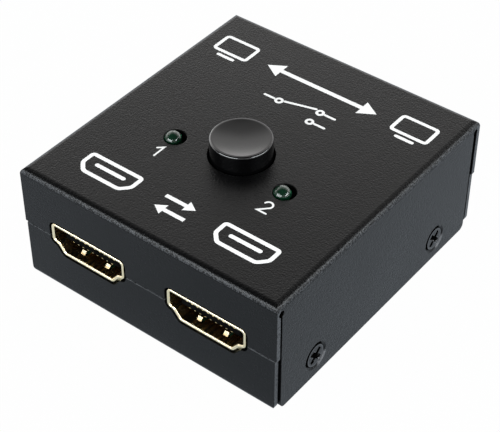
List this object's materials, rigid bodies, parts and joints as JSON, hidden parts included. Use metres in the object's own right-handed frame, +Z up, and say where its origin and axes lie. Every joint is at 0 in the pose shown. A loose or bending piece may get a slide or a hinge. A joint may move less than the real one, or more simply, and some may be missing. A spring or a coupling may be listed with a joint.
{
  "type": "video switch box",
  "caption": "Small sheet-metal video switch box: two sockets in front, one behind, a round push button between two lamps on top.",
  "frame": {"origin": "centre of the box's footprint, on the plane that its feet stand on", "axes": "+Z up; the front face with the two numbered sockets faces -Y; the common socket faces +Y; +X to the right seen from the front"},
  "size_m": [0.05, 0.054, 0.0259],
  "materials": {
    "powder_coat": "fine-grained black powder coat",
    "powder_coat_tray": "fine-grained black powder coat",
    "black_screw": "blackened steel",
    "foot_rubber": "matt black foam rubber",
    "board_laminate": "dark green laminate",
    "plated_steel": "zinc plated",
    "lamp_green": "clear green resin, unlit",
    "tinned_wire": "tinned",
    "switch_black": "moulded",
    "plunger_white": "moulded",
    "contact_bronze": "rolled bronze",
    "spring_steel": "drawn wire",
    "cap_gloss": "polished black",
    "chip_black": "moulded epoxy",
    "capacitor_tan": "fired",
    "resistor_dark": "coated",
    "gold_plate": "bright gold plate",
    "insulator_black": "moulded",
    "contact_gold": "gold plated",
    "white_print": "screen-printed white ink"
  },
  "bodies": {
    "housing": {"top_cover": "powder_coat", "bottom_tray": "powder_coat_tray", "case_screws": "black_screw", "rubber_feet": "foot_rubber", "circuit_board": "board_laminate", "board_standoffs": "plated_steel", "board_screws": "plated_steel", "lamp_1": "lamp_green", "lamp_2": "lamp_green", "lamp_leads": "tinned_wire", "switch_base": "switch_black", "switch_housing": "switch_black", "switch_terminals": "tinned_wire", "return_spring": "spring_steel", "signal_switch_chip": "chip_black", "surge_arrays": "chip_black", "supply_diodes": "chip_black", "supply_regulator": "chip_black", "capacitors": "capacitor_tan", "resistors": "resistor_dark", "socket_1_shell": "gold_plate", "socket_1_insulator": "insulator_black", "socket_1_contacts": "contact_gold", "socket_2_shell": "gold_plate", "socket_2_insulator": "insulator_black", "socket_2_contacts": "contact_gold", "common_socket_shell": "gold_plate", "common_socket_insulator": "insulator_black", "common_socket_contacts": "contact_gold"},
    "button": {"button_cap": "cap_gloss", "switch_plunger": "plunger_white", "contact_clips": "contact_bronze"},
    "latch": {"latch_wire": "spring_steel"}
  },
  "joints": [
    {"name": "button_press", "type": "slide", "parent": "housing", "child": "button", "axis": [0, 0, -1], "range_m": [0, 0.0022], "stiffness_N_per_m": 680, "springref_m": -0.0015, "deforming": ["return_spring"]},
    {"name": "latch_swing", "type": "hinge", "parent": "housing", "child": "latch", "pos_m": [0.0038, -0.0033, 0.0108], "axis": [-1, 0, 0], "range_deg": [0, 14.32]}
  ],
  "couplings": [
    {"joint": "latch_swing", "follows": "button_press", "rad_per_m": 113.6}
  ]
}
